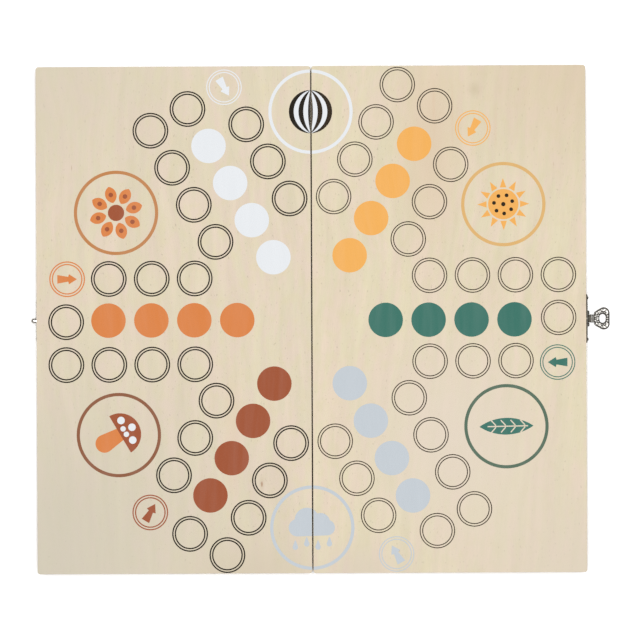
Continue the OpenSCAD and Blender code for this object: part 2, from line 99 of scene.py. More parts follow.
def lens(length, width, n=24):
    """Two arcs that meet at both ends of a line along Y."""
    r = (length * length + width * width) / (4 * width)
    half = math.asin(length / 2 / r)
    right = [(r * math.cos(a) - (r - width / 2), r * math.sin(a))
             for a in (-half + 2 * half * i / n for i in range(n))]
    return right + [(-x, -y) for x, y in right]


def bar(a, ra, b, rb):
    """Two circles and the four-sided shape between the lines that touch both."""
    along = math.atan2(b[1] - a[1], b[0] - a[0])
    spread = math.acos((ra - rb) / math.dist(a, b))
    quad = [(a[0] + ra * math.cos(along - spread), a[1] + ra * math.sin(along - spread)),
            (b[0] + rb * math.cos(along - spread), b[1] + rb * math.sin(along - spread)),
            (b[0] + rb * math.cos(along + spread), b[1] + rb * math.sin(along + spread)),
            (a[0] + ra * math.cos(along + spread), a[1] + ra * math.sin(along + spread))]
    return [circle(*a, ra, 48), circle(*b, rb, 48), quad]


def turned(loops, angle, x=0.0, y=0.0):
    """Loops turned by an angle in degrees after they were moved by x, y."""
    c, s = math.cos(math.radians(angle)), math.sin(math.radians(angle))
    return [[((px + x) * c - (py + y) * s, (px + x) * s + (py + y) * c) for px, py in loop] for loop in loops]


def counter_clockwise(loop):
    area = sum(a[0] * b[1] - b[0] * a[1] for a, b in zip(loop, loop[1:] + loop[:1]))
    return loop if area > 0 else loop[::-1]


def region(add, cut=(), keep=(), inner_points=()):
    """Triangles that cover every loop of add, none of cut and only what all loops of keep cover."""
    loops = [counter_clockwise(loop) for loop in list(add) + list(cut) + list(keep)]
    points, faces = [], []
    for loop in loops:
        faces.append(list(range(len(points), len(points) + len(loop))))
        points += [Vector(p) for p in loop]
    points += [Vector(p) for p in inner_points]
    n_add, n_cut = len(add), len(add) + len(cut)
    verts, _, tris, _, _, origin = delaunay_2d_cdt(points, [], faces, 1, 1e-5, True)
    kept = []
    for tri, source in zip(tris, origin):
        inside = set(source)
        if any(i < n_add for i in inside) and not any(n_add <= i < n_cut for i in inside) \
                and all(i in inside for i in range(n_cut, len(loops))):
            kept.append(list(tri))
    used = sorted({i for tri in kept for i in tri})
    number = {old: new for new, old in enumerate(used)}
    return [tuple(verts[i]) for i in used], [[number[i] for i in tri] for tri in kept]


def rim_edges(tris):
    """The edges that only one triangle has, in that triangle's direction."""
    edges = {(t[i], t[(i + 1) % 3]) for t in tris for i in range(3)}
    return [e for e in edges if (e[1], e[0]) not in edges]


def slab(points, tris, bottom, top):
    """A closed body over the triangles; top is a height, or a list with one height for each point."""
    n = len(points)
    heights = top if isinstance(top, list) else [top] * n
    verts = [(x, y, bottom) for x, y in points] + [(x, y, z) for (x, y), z in zip(points, heights)]
    faces = [t[::-1] for t in tris] + [[i + n for i in t] for t in tris]
    faces += [[a, b, b + n, a + n] for a, b in rim_edges(tris)]
    return verts, faces


def join(parts):
    """The points and faces of several meshes as one mesh."""
    verts, faces = [], []
    for part_verts, part_faces in parts:
        faces += [[i + len(verts) for i in f] for f in part_faces]
        verts += part_verts
    return verts, faces


# Materials

class Shader:
    """Builds a material: inputs are given by name or number, as values or as other nodes' outputs."""

    def __init__(self, name):
        self.material = bpy.data.materials.new(name)
        self.material.use_nodes = True
        self.tree = self.material.node_tree
        self.surface = self.tree.nodes["Principled BSDF"]

    def put(self, socket, value):
        if isinstance(value, bpy.types.NodeSocket):
            self.tree.links.new(value, socket)
        else:
            socket.default_value = value

    def node(self, kind, inputs, **settings):
        n = self.tree.nodes.new("ShaderNode" + kind)
        for key, value in settings.items():
            setattr(n, key, value)
        for key, value in inputs.items():
            self.put(n.inputs[key], value)
        return n

    def place(self):
        return self.node("TexCoord", {}).outputs["Object"]

    def math(self, operation, a, b=0.0, c=0.0):
        return self.node("Math", {0: a, 1: b, 2: c}, operation=operation).outputs[0]

    def noise(self, sizes, detail=2.0, roughness=0.5, shift=0.0, place=None):
        """Noise whose patches have these sizes in millimetres along X, Y and Z."""
        mapped = self.node("Mapping", {"Vector": place or self.place(), "Location": (shift, shift, shift),
                                       "Scale": [1 / (MM * s) for s in sizes]}).outputs[0]
        return self.node("TexNoise", {"Vector": mapped, "Scale": 1.0, "Detail": detail,
                                      "Roughness": roughness}).outputs[0]

    def ramp(self, value, low, high, to_low=0.0, to_high=1.0):
        return self.node("MapRange", {"Value": value, "From Min": low, "From Max": high, "To Min": to_low,
                                      "To Max": to_high}, interpolation_type="SMOOTHSTEP").outputs[0]

    def mix(self, factor, a, b):
        a, b = [tuple(c) + (1,) if isinstance(c, tuple) and len(c) == 3 else c for c in (a, b)]
        return self.node("Mix", {0: factor, 6: a, 7: b}, data_type="RGBA").outputs[2]

    def scale(self, color, value):
        return self.node("VectorMath", {0: color, "Scale": value}, operation="SCALE").outputs[0]

    def bump(self, height, distance, strength):
        self.put(self.surface.inputs["Normal"], self.node(
            "Bump", {"Height": height, "Distance": distance * MM, "Strength": strength}).outputs[0])

    def finish(self, **values):
        for key, value in values.items():
            self.put(self.surface.inputs[key.replace("_", " ")], value)
        return self.material


def stretched(axis, across, along):
    """Sizes along X, Y and Z for patches that are drawn out along one axis."""
    return [along if i == axis else across for i in range(3)]


def bent_place(s, axis, lean):
    """The place on the object, bent a little so that grain along one axis isn't quite straight."""
    place = s.place()
    drift = s.math("SUBTRACT", s.noise(stretched(axis, 55, 110), 2.0, place=place), 0.5)
    along = s.node("SeparateXYZ", {0: place}).outputs[axis]
    bend = s.math("MULTIPLY_ADD", drift, 24 * MM, s.math("MULTIPLY", along, -lean))
    across = s.node("CombineXYZ", {1 if axis == 0 else 0: bend}).outputs[0]
    return s.node("VectorMath", {0: place, 1: across}, operation="ADD").outputs[0]


def grain(s, axis, place):
    """The broad and the fine streaks of wood along one axis."""
    broad = s.noise(stretched(axis, 5.5, 60), 3.0, 0.55, 3.1, place)
    fine = s.noise(stretched(axis, 0.7, 7), 2.0, 0.6, 7.7, place)
    return broad, fine


def spot(s, x, y, rx, ry, soft):
    """One round or long mark at a place on the board, 1 in its middle and 0 outside."""
    moved = s.node("Mapping", {"Vector": s.place(), "Location": (-x / rx, -y / ry, 0),
                               "Scale": (1 / (MM * rx), 1 / (MM * ry), 0)}).outputs[0]
    length = s.node("VectorMath", {0: moved}, operation="LENGTH").outputs["Value"]
    return s.ramp(length, 1 - soft, 1, 1, 0)


# Tones of wood: its clouds, the middle layer and the others on a panel's sides, and its end grain
CLOUD, PLY_LINE = (0.6, 0.53, 0.35), (0.37, 0.25, 0.15)
PLY_SIDE, END_GRAIN = (0.42, 0.31, 0.2), (0.36, 0.26, 0.16)


def wood(name, pink, yellow, axis, marks=(), contrast=1.0, plies=False, lean=0.0):
    """Pale wood between two tones, with its grain along one axis; plies draws the layers on the sides."""
    s = Shader(name)
    bent = bent_place(s, axis, lean)
    broad, fine = grain(s, axis, bent)
    slow = s.noise(stretched(axis, 7, 30), 4.0, 0.65, 1.3, bent)
    fleck = s.noise(stretched(axis, 0.9, 2.2), 1.0, 0.5, 5.9, bent)
    color = s.mix(s.ramp(slow, 0.36, 0.64), pink, yellow)
    cloud = s.noise(stretched(axis, 6, 9), 3.0, 0.6, 9.2)
    color = s.mix(s.math("MULTIPLY", s.ramp(cloud, 0.42, 0.72), 0.5), color, CLOUD)
    light = s.math("MULTIPLY_ADD", s.math("SUBTRACT", broad, 0.5), 0.2 * contrast, 1.0)
    light = s.math("MULTIPLY_ADD", s.math("SUBTRACT", fine, 0.5), 0.16 * contrast, light)
    light = s.math("MULTIPLY_ADD", s.ramp(fleck, 0.67, 0.78), -0.2 if plies else -0.12, light)
    color = s.scale(color, light)
    for x, y, rx, ry, soft, tint, amount in marks:
        color = s.mix(s.math("MULTIPLY", spot(s, x, y, rx, ry, soft), amount), color, tint)
    normal = s.node("SeparateXYZ", {0: s.node("TexCoord", {}).outputs["Normal"]})
    if plies:
        side = s.ramp(s.math("ABSOLUTE", normal.outputs[2]), 0.35, 0.65, 1, 0)
        height = s.node("SeparateXYZ", {0: s.place()}).outputs[2]
        half_layer, blur = (TOP - UNDER) / 3 / 2, 0.06
        middle = s.ramp(s.math("ABSOLUTE", s.math("SUBTRACT", height, (TOP + UNDER) / 2 * MM)),
                        (half_layer - blur) * MM, (half_layer + blur) * MM, 1, 0)
        color = s.mix(s.math("MULTIPLY", s.math("MULTIPLY", side, middle), 0.55), color, PLY_LINE)
        color = s.mix(s.math("MULTIPLY", side, 0.22), color, PLY_SIDE)
    else:
        end = s.ramp(s.math("ABSOLUTE", normal.outputs[axis]), 0.6, 0.8)
        pores = s.noise((0.35, 0.35, 0.35), 2.0, 0.7, 2.2)
        rings = s.noise(stretched(2, 9, 1.1), 1.0, 0.5, 8.4)
        dark = s.math("MULTIPLY_ADD", s.ramp(pores, 0.45, 0.7), 0.35, s.math("MULTIPLY", rings, 0.35))
        color = s.mix(s.math("MULTIPLY", end, s.math("ADD", dark, 0.25)), color, END_GRAIN)
    s.bump(s.math("MULTIPLY_ADD", fine, 0.6, broad), 0.03, 0.5)
    return s.finish(Base_Color=s.scale(color, 1 / LIGHT), Roughness=s.ramp(fine, 0.3, 0.7, 0.5, 0.62),
                    Specular_IOR_Level=0.16 / LIGHT)


# Tone of the wood where ink has worn off
WOOD_UNDER_INK = (0.6, 0.5, 0.38)


def ink(name, color, wear, streaks=0.07, ring=None, shine=0.16):
    """A printed colour through which the wood's grain shows a little; a medallion's ring has its own tone."""
    s = Shader(name)
    broad, fine = grain(s, 1, bent_place(s, 1, 0.0))
    light = s.math("MULTIPLY_ADD", s.math("SUBTRACT", broad, 0.5), streaks / LIGHT, 1 / LIGHT)
    light = s.math("MULTIPLY_ADD", s.math("SUBTRACT", fine, 0.5), streaks / LIGHT, light)
    base = s.mix(s.math("MULTIPLY", s.ramp(s.noise((0.35, 0.7, 0.35), 2.0, 0.6, 4.4), 0.5, 0.75), wear),
                 color, WOOD_UNDER_INK)
    if ring:
        kind, tone = ring
        angle, far = math.radians(MEDAL_AT[kind][0]), MEDAL_AT[kind][1]
        x, y = FOLD_X + far * math.cos(angle), far * math.sin(angle)
        outside, inside = [spot(s, x, y, r, r, 0.02) for r in (MEDAL_R + MEDAL_LINE, MEDAL_R - MEDAL_LINE)]
        base = s.mix(s.math("SUBTRACT", outside, inside), base, tone)
    s.bump(fine, 0.02, 0.4)
    return s.finish(Base_Color=s.scale(base, light), Roughness=s.ramp(broad, 0.3, 0.7, 0.46, 0.56),
                    Specular_IOR_Level=shine / LIGHT)


def metal(name, dull, bright, rough):
    """Plated metal with fine lines along Y and a stain here and there."""
    s = Shader(name)
    lines = s.noise(stretched(1, 0.08, 2.4), 2.0, 0.6, 1.9)
    stain = s.ramp(s.noise((1.3, 1.3, 1.3), 3.0, 0.65, 6.6), 0.36, 0.68)
    color = s.mix(stain, bright, dull)
    color = s.scale(color, s.ramp(lines, 0.3, 0.7, 0.88 / LIGHT, 1.06 / LIGHT))
    s.bump(lines, 0.006, 0.5)
    return s.finish(Base_Color=color, Metallic=1.0, Roughness=s.ramp(stain, 0, 1, *rough))


# Tones of antique metal
RECESS, RUBBED = (0.05, 0.045, 0.036), (0.84, 0.82, 0.77)


def patina():
    """Antique metal: bright where the relief stands out and nearly black in its recesses."""
    s = Shader("antique_relief")
    height = s.node("Attribute", {}, attribute_name="relief").outputs["Fac"]
    worn = s.noise((0.5, 0.5, 0.5), 3.0, 0.65, 3.6)
    level = s.ramp(s.math("MULTIPLY_ADD", s.math("SUBTRACT", worn, 0.5), 0.3, height), 0.12, 0.5)
    color = s.mix(level, RECESS, RUBBED)
    s.bump(worn, 0.012, 0.5)
    return s.finish(Base_Color=s.scale(color, 1 / LIGHT), Metallic=s.ramp(level, 0, 0.6, 0.55, 1.0),
                    Roughness=s.ramp(level, 0, 1, 0.62, 0.3))


# Tones of the two panels and of marks on them; one broad mark on the left panel is painted shade
PINK_LEFT, YELLOW_LEFT = (0.632, 0.524, 0.418), (0.606, 0.538, 0.392)
PINK_RIGHT, YELLOW_RIGHT = (0.648, 0.536, 0.418), (0.616, 0.55, 0.388)
SMUDGE, FLECK = (0.42, 0.33, 0.22), (0.35, 0.24, 0.15)
# Each mark: its place, its two radii, how soft it is, its tone and its strength
ply_left = wood("ply_left", PINK_LEFT, YELLOW_LEFT, 1, plies=True, marks=[
    # The first mark is painted shade: it darkens the left panel towards its lower-left corner, as a falloff
    # of the light would. The second darkens the upper-left corner.
    (-180, -150, 200, 190, 1.0, (0.5, 0.46, 0.37), 0.8),
    (-180, 160, 150, 130, 1.0, (0.53, 0.475, 0.37), 0.6),
    (-35.1, -97.2, 0.7, 2.2, 0.7, (0.3, 0.13, 0.07), 0.85),
    (-35.1, -97.2, 2.4, 7, 0.9, SMUDGE, 0.3),
    (-146.9, 90.3, 0.4, 2.4, 0.8, FLECK, 0.5),
    (-41, -152, 62, 38, 1.0, (0.54, 0.465, 0.35), 0.8),
    (-52, -70, 9, 60, 1.0, (0.645, 0.49, 0.37), 0.45),
])
ply_right = wood("ply_right", PINK_RIGHT, YELLOW_RIGHT, 1, plies=True, lean=0.08, marks=[
    (165, 160, 140, 110, 1.0, (0.56, 0.455, 0.32), 0.7),
    (165, -160, 130, 110, 1.0, (0.59, 0.51, 0.415), 0.7),
    (65, 105, 30, 90, 1.0, (0.6, 0.482, 0.345), 0.9),
    (80, -70, 85, 90, 1.0, (0.63, 0.545, 0.445), 0.8),
    (22, -152, 48, 32, 1.0, (0.57, 0.485, 0.4), 0.6),
    (67.5, 124, 1.6, 24, 1.0, (0.6, 0.45, 0.32), 0.5),
    (78.5, 120, 1.3, 28, 1.0, (0.6, 0.45, 0.32), 0.45),
    (104, 112, 1.5, 22, 1.0, (0.6, 0.46, 0.33), 0.4),
    (92.0, 135.8, 6.0, 7.0, 1.0, SMUDGE, 0.3),
    (117.5, 135.8, 0.5, 1.2, 0.8, FLECK, 0.6),
    (140.5, 124.0, 0.35, 3.2, 0.8, FLECK, 0.35),
    (138.2, 91.4, 0.35, 2.0, 0.8, FLECK, 0.35),
])
wood_long = wood("wood_long", (0.55, 0.43, 0.31), (0.6, 0.49, 0.34), 1, contrast=1.5)
wood_end = wood("wood_end", (0.54, 0.42, 0.3), (0.59, 0.48, 0.33), 0, contrast=1.5)
# Dark antique bronze plating, partly painted shade: the hinges are made this dark so that they stay as dark
# as the shade in the fold.
shaded_hinge_metal = metal("hinge_plating_and_painted_shade", (0.05, 0.038, 0.024), (0.15, 0.115, 0.075), (0.35, 0.5))
nickel = metal("antique_nickel", (0.045, 0.04, 0.034), (0.17, 0.155, 0.13), (0.3, 0.5))
nickel_black = metal("blackened_nickel", (0.012, 0.011, 0.01), (0.05, 0.046, 0.04), (0.25, 0.4))
nickel_polished = metal("polished_nickel", (0.42, 0.4, 0.37), (0.66, 0.64, 0.6), (0.16, 0.26))
relief_metal = patina()
ink_black_left = ink("ink_black_left", (0.009, 0.006, 0.002), 0.04, shine=0.06)
ink_black_right = ink("ink_black_right", (0.02, 0.011, 0.003), 0.08, shine=0.06)
ink_white = ink("ink_white", (0.65, 0.67, 0.69), 0.0, 0.03)
ink_orange = ink("ink_orange", (0.575, 0.174, 0.036), 0.05, ring=("upper_left", (0.436, 0.18, 0.056)))
ink_brown = ink("ink_brown", (0.28, 0.06, 0.015), 0.04, ring=("lower_left", (0.219, 0.078, 0.032)))
ink_grey = ink("ink_grey", (0.445, 0.485, 0.52), 0.05)
ink_yellow = ink("ink_yellow", (0.73, 0.352, 0.072), 0.05, ring=("upper_right", (0.6, 0.362, 0.127)))
ink_green = ink("ink_green", (0.022, 0.131, 0.099), 0.03, ring=("lower_right", (0.071, 0.122, 0.08)))


# Panels

# Steps round each corner, and size of the chamfer along the lower edge
CORNER_STEPS, CHAMFER = 8, 0.15


def rounded_loop(side, inset):
    """The outline of one half's panel, moved inwards."""
    x0, x1 = SEAM[side] + inset, INNER + HALF_W - inset
    y = HALF_L / 2 - inset
    r = CORNER - inset
    loop = []
    corners = [(x1 - r, -y + r), (x1 - r, y - r), (x0 + r, y - r), (x0 + r, -y + r)]
    for quarter, (cx, cy) in enumerate(corners):
        for i in range(CORNER_STEPS + 1):
            a = math.radians(90 * (quarter - 1) + 90 * i / CORNER_STEPS)
            loop.append((FOLD_X + side * (cx + r * math.cos(a)), cy + r * math.sin(a)))
    return loop


def panel(side, material):
    """One half's panel: loops stacked from its underside to its rounded top edge."""
    profile = [(UNDER, CHAMFER), (UNDER + CHAMFER, 0), (TOP - EDGE, 0)]
    profile += [(TOP - EDGE + EDGE * math.sin(math.radians(a)), EDGE * (1 - math.cos(math.radians(a))))
                for a in (22.5, 45, 67.5, 90)]
    loops = [[(x, y, z) for x, y in rounded_loop(side, inset)] for z, inset in profile]
    n = len(loops[0])
    verts = [v for loop in loops for v in loop]
    faces = [list(range(n))[::-1], [n * (len(loops) - 1) + i for i in range(n)]]
    for row in range(len(loops) - 1):
        for i in range(n):
            a, b = row * n + i, row * n + (i + 1) % n
            faces.append([a, b, b + n, a + n])
    if side == LEFT:
        faces = [f[::-1] for f in faces]
    half = HALF[side]
    add_mesh(half + "_board_panel", verts, faces, half + "_half", material, [half + "_panel"])


panel(LEFT, ply_left)
panel(RIGHT, ply_right)


# Printed track

# Six arms, 60 degrees apart, with four coloured fields each
ARM, FIELDS, ARMS = 60, 4, {LEFT: (2, 3, 4), RIGHT: (0, 1, 5)}
# Distance between fields, and of the first one from the board's centre
PITCH, FIRST = 25.4, 43.5
# Radius of a filled field and of a ring's outer line, and the step to its inner line
DOT_R, RING_R, RING_STEP = 10.2, 10.2, 1.5
ARROW = [(5.8, 0), (1.1, 3.0), (0.63, 1.4), (-5.8, 2.55), (-5.8, -2.55), (0.63, -1.4), (1.1, -3.0)]
# Width of the rings' lines, on each half's track and on each arm's start
LINE = {LEFT: 0.78, RIGHT: 0.56}
START_LINE = {0: 0.56, 1: 0.56, 2: 0.55, 3: 0.7, 4: 0.7, 5: 0.56}
# Small errors of the print: each is a shift along X and Y and a turn in degrees
TRACK_ERROR = {LEFT: (0.0, -0.61, 0.11), RIGHT: (1.16, 0.36, 0.13)}
PLAYER_ERROR = {0: (0.44, -0.34, 0), 1: (0.85, 0.42, -0.29), 2: (-0.57, -0.65, 0), 3: (-0.36, -0.07, 0),
                4: (-0.33, -0.08, 0), 5: (1.39, 0.29, -0.88)}
START_ERROR = {**PLAYER_ERROR, 3: (0.7, -0.89, 0), 4: (-1.25, -0.7, 0)}
# The prints across the fold end this far from each panel's edge
PRINT_END = EDGE * 0.6


def half_mask(side):
    """The face of one half, as far as prints may cover it."""
    x = sorted((FOLD_X + side * (SEAM[side] + PRINT_END), FOLD_X + side * (INNER + HALF_W - EDGE)))
    return rectangle(x[0], -HALF_L / 2 + EDGE, x[1], HALF_L / 2 - EDGE)


def placed(loops, angle, x=0.0, y=0.0, own=0.0, error=(0, 0, 0)):
    """Loops turned on their own centre, moved by x, y and turned about the board's centre."""
    dx, dy, turn = error
    loops = turned(turned(turned(loops, own), angle, x, y), turn)
    return [[(px + dx + FOLD_X, py + dy) for px, py in loop] for loop in loops]


def film(shapes, layer=0):
    """One closed body of ink for each shape: its loops to add, to cut out and to keep inside.

    Ink of layer 1 lies on ink of layer 0.
    """
    parts = []
    for add, cut, keep in shapes:
        points, tris = region(add, cut, keep)
        parts.append(slab(points, tris, TOP + layer * INK, TOP + (layer + 1) * INK))
    return parts


def ring_at(angle, x, y, w, error):
    """The two lines of a ring on an arm."""
    shapes = []
    for r in (RING_R, RING_R - RING_STEP):
        shapes.append((placed([circle(0, 0, r + w / 2, 96)], angle, x, y, error=error),
                       placed([circle(0, 0, r - w / 2, 96)], angle, x, y, error=error), ()))
    return shapes


def track(side):
    """The black rings of one half: two lanes and the outermost field on each of its arms."""
    shapes = []
    fields = [(i, 1) for i in range(1, FIELDS + 1)] + [(i, -1) for i in range(1, FIELDS)] + [(FIELDS, 0)]
    for arm in ARMS[side]:
        for i, lane in fields:
            shapes += ring_at(ARM * arm, FIRST + i * PITCH, lane * PITCH, LINE[side], TRACK_ERROR[side])
    return shapes


def player(arm):
    """One player's print: the filled fields, and the start ring with its arrow."""
    angle, start = ARM * arm, (FIRST + FIELDS * PITCH, -PITCH)
    shapes = []
    for i in range(FIELDS):
        dot = placed([circle(0, 0, DOT_R, 96)], angle, FIRST + i * PITCH, error=PLAYER_ERROR[arm])
        shapes.append((dot, (), ()))
    shapes += ring_at(angle, *start, START_LINE[arm], START_ERROR[arm])
    shapes.append((placed([ARROW], angle, *start, own=180, error=START_ERROR[arm]), (), ()))
    return shapes


# Medallions

# Radius of a medallion's picture, which sets the size of all its parts: flower, mushroom, sun, leaf and ball
MOTIF = 16.0
PETALS, PETAL_L, PETAL_W = 8, MOTIF * 0.62, MOTIF * 0.42
CAP_R, CAP_Y, STEM_W = MOTIF * 0.78, MOTIF * 0.05, MOTIF * 0.24
SUN_R, RAYS, SUN_DOTS = MOTIF * 0.56, 12, 7
LEAF_W, VEIN_W, VEIN_PAIRS = MOTIF * 0.62, MOTIF * 0.045, 4
BALL_R, STRIPES, DROPS = MOTIF * 0.8, 5, 4
STRIPE = 2 * BALL_R / (2 * STRIPES - 1)


def medal_place(kind, loops, own=0.0):
    """Loops turned on their own centre and moved to a medallion, where +Y points to the board's centre."""
    if kind in ("top", "bottom"):
        return placed(loops, 180 if kind == "top" else 0, 0, -MEDAL_FOLD, own)
    return placed(loops, *MEDAL_AT[kind], 0, own + 90)


def medal(kind, mask=()):
    """The ring of a medallion."""
    outer, inner = [circle(0, 0, r, 128) for r in (MEDAL_R + MEDAL_LINE / 2, MEDAL_R - MEDAL_LINE / 2)]
    return [(medal_place(kind, [outer]), medal_place(kind, [inner]), mask)]


def picture(kind, add, cut=(), mask=(), own=0.0):
    """One shape of a medallion's picture."""
    return medal_place(kind, add, own), medal_place(kind, cut, own), mask


def around_flower(loop):
    """A loop repeated in the middle of each petal."""
    return [turned([loop], 360 / PETALS * i, 0, MOTIF - PETAL_L / 2)[0] for i in range(PETALS)]


def petals():
    return around_flower(lens(PETAL_L, PETAL_W))


def flower_eye():
    return [circle(0, 0, MOTIF * 0.3)] + around_flower(circle(0, 0, PETAL_W / 5, 32))


def cap():
    """The mushroom's cap: a half circle."""
    return [[(CAP_R * math.cos(math.radians(a)), CAP_Y + CAP_R * math.sin(math.radians(a)))
             for a in range(0, 181, 4)]]


def spots():
    """White spots on the mushroom's cap: three larger ones above two smaller ones."""
    loops = []
    for far, r, angles in ((0.66, MOTIF * 0.14, (35, 90, 145)), (0.3, MOTIF * 0.1, (60, 120))):
        for angle in angles:
            a = math.radians(angle)
            loops.append(circle(CAP_R * far * math.cos(a), CAP_Y + CAP_R * far * math.sin(a), r, 40))
    return loops


def sun():
    foot, length, width = MOTIF * 0.62, MOTIF * 0.34, MOTIF * 0.24
    ray = [(foot, -width / 2), (foot + length, 0), (foot, width / 2)]
    return [circle(0, 0, SUN_R)] + [turned([ray], 360 / RAYS * i)[0] for i in range(RAYS)]


def sun_dots():
    dot = circle(SUN_R * 0.62, 0, MOTIF * 0.07, 32)
    return [circle(0, 0, MOTIF * 0.08, 32)] + [turned([dot], 360 / SUN_DOTS * i)[0] for i in range(SUN_DOTS)]


def leaf_cuts():
    """The leaf's midrib and its pairs of veins."""
    w = VEIN_W
    cuts = [rectangle(-w / 2, -MOTIF * 0.8, w / 2, MOTIF * 0.7)]
    for i in range(VEIN_PAIRS):
        for side in (LEFT, RIGHT):
            vein = turned([rectangle(w, -w / 2, w + LEAF_W * 0.42, w / 2)], 90 - side * 48)[0]
            cuts.append([(x, y + (i - VEIN_PAIRS / 2) * MOTIF * 0.36) for x, y in vein])
    return cuts


def ball_stripes(mask):
    """Stripes as wide as the gaps between them, which meet at the ball's two poles."""
    shapes = [picture("top", [lens(2 * BALL_R, STRIPE)], mask=mask)]
    for k in range(1, STRIPES // 2 + 1):
        shapes.append(picture("top", [lens(2 * BALL_R, STRIPE * (4 * k + 1))],
                              cut=[lens(2 * BALL_R, STRIPE * (4 * k - 1))], mask=mask))
    return shapes


def cloud_shapes(mask):
    """A cloud of round puffs over its drops of rain."""
    puff, drop = MOTIF * 0.36, MOTIF * 0.1
    puffs = bar((-MOTIF * 0.55, 0), puff * 0.9, (MOTIF * 0.55, 0), puff * 0.8)
    puffs += [circle(-MOTIF * 0.2, puff * 0.8, puff * 1.25), circle(MOTIF * 0.3, puff * 0.5, puff)]
    shapes = [picture("bottom", puffs, mask=mask)]
    for i in range(DROPS):
        x, y = (i - (DROPS - 1) / 2) * MOTIF * 0.42, -MOTIF * (0.72 if i % 2 == 0 else 0.6)
        shapes.append(picture("bottom", bar((x, y), drop, (x, y + drop * 2.4), drop * 0.15), mask=mask))
    return shapes


def printed(node, material, parts):
    """One ink of one half, as a piece that stands for the CAD's print."""
    verts, faces = join(parts)
    half = node.split("_")[0]
    add_mesh(node.replace("print", "ink"), verts, faces, half + "_half", material,
             [node])


LEFT_MASK, RIGHT_MASK = [half_mask(LEFT)], [half_mask(RIGHT)]
printed("left_print_black", ink_black_left, film(track(LEFT)) + film(ball_stripes(LEFT_MASK), 1))
printed("left_print_white", ink_white, film(
    player(2) + medal("top", LEFT_MASK) + [picture("top", [circle(0, 0, BALL_R, 96)], mask=LEFT_MASK)])
    + film([picture("lower_left", [loop]) for loop in spots()], 1))
printed("left_print_orange", ink_orange, film(
    player(3) + medal("upper_left") + [picture("upper_left", [loop]) for loop in petals()]
    + [picture("lower_left", bar((0, CAP_Y), STEM_W, (0, STEM_W * 1.6 - MOTIF), STEM_W * 1.4), cut=cap())]))
printed("left_print_brown", ink_brown, film(
    player(4) + medal("lower_left") + [picture("lower_left", cap())])
    + film([picture("upper_left", [loop]) for loop in flower_eye()], 1))
printed("left_print_grey", ink_grey, film(medal("bottom", LEFT_MASK) + cloud_shapes(LEFT_MASK)))
printed("right_print_black", ink_black_right, film(track(RIGHT)) + film(
    ball_stripes(RIGHT_MASK) + [picture("upper_right", [loop]) for loop in sun_dots()], 1))
printed("right_print_white", ink_white, film(
    medal("top", RIGHT_MASK) + [picture("top", [circle(0, 0, BALL_R, 96)], mask=RIGHT_MASK)]))
printed("right_print_yellow", ink_yellow, film(
    player(1) + medal("upper_right") + [picture("upper_right", [loop]) for loop in sun()]))
printed("right_print_green", ink_green, film(
    player(0) + medal("lower_right")
    + [picture("lower_right", [lens(MOTIF * 2, LEAF_W)], cut=leaf_cuts(), own=30)]))
printed("right_print_grey", ink_grey, film(
    player(5) + medal("bottom", RIGHT_MASK) + cloud_shapes(RIGHT_MASK)))


# Pieces shown as their CAD nodes

def dress(node, material, edge=0.0):
    """Gives a CAD node its material, and rounds its sharp edges where an edge is given."""
    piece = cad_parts[node]
    piece.data.materials.clear()
    piece.data.materials.append(material)
    if edge:
        weld = piece.modifiers.new("weld", "WELD")
        weld.merge_threshold = 0.002 * MM
        bevel = piece.modifiers.new("edges", "BEVEL")
        bevel.width = edge * MM
        bevel.segments = 2
        bevel.limit_method = "ANGLE"
        bevel.angle_limit = math.radians(40)
        bevel.use_clamp_overlap = True


for half in ("left", "right"):
    for wall in ("outer", "seam"):
        dress(f"{half}_{wall}_wall", wood_long, EDGE)
    for wall in ("front", "back"):
        dress(f"{half}_{wall}_wall", wood_end, EDGE)
    dress(half + "_hinge_screws", shaded_hinge_metal)
for end in ("front", "back"):
    for piece in ("left_leaf", "right_leaf", "pin"):
        dress(f"{end}_hinge_{piece}", shaded_hinge_metal)
dress("hasp_plate", nickel)
dress("hasp_pin", nickel)
dress("hasp_nails", nickel_black)
dress("catch_plate", nickel_polished)
dress("catch_nails", nickel_polished)


# Relief

# Radius at which a coil starts, and its steps
COIL_START, COIL_STEPS = 0.1, 40
# How deep a relief is set into its plate, and how high its lowest places stand over it
SUNK, LOWEST = 0.06, 0.02
# Distance between the points of the tongue's relief and of the plates'
TONGUE_STEP, PLATE_STEP = 0.16, 0.2


def ridge(d, middle, half):
    """Height of a rounded ridge, from 1 at its middle to 0 at half its width."""
    t = abs(d - middle) / half
    return math.cos(t * math.pi / 2) if t < 1 else 0.0


def knob(u, v, cu, cv, r):
    """Height of a half ball, from 1 at cu, cv to 0 at its radius."""
    t = math.dist((u, v), (cu, cv)) / r
    return math.sqrt(1 - t * t) if t < 1 else 0.0


def scrolls(coils, mirror_u, mirror_v):
    """Points along coils and along their mirror images.

    Each coil has its centre, the angle at which it starts in radians, its turns and its radius.
    """
    points = []
    for cu, cv, start, turns, end in coils:
        for i in range(COIL_STEPS + 1):
            r = COIL_START + (end - COIL_START) * i / COIL_STEPS
            a = start + turns * 2 * math.pi * i / COIL_STEPS
            u, v = cu + r * math.cos(a), cv + r * math.sin(a)
            points += [(u, v), (mirror_u * u, mirror_v * v)]
    return points


def dense(loop, step=0.2):
    """A loop with more points, no more than a step apart."""
    out = []
    for a, b in zip(loop, loop[1:] + loop[:1]):
        n = max(1, math.ceil(math.dist(a, b) / step))
        out += [(a[0] + (b[0] - a[0]) * i / n, a[1] + (b[1] - a[1]) * i / n) for i in range(n)]
    return out


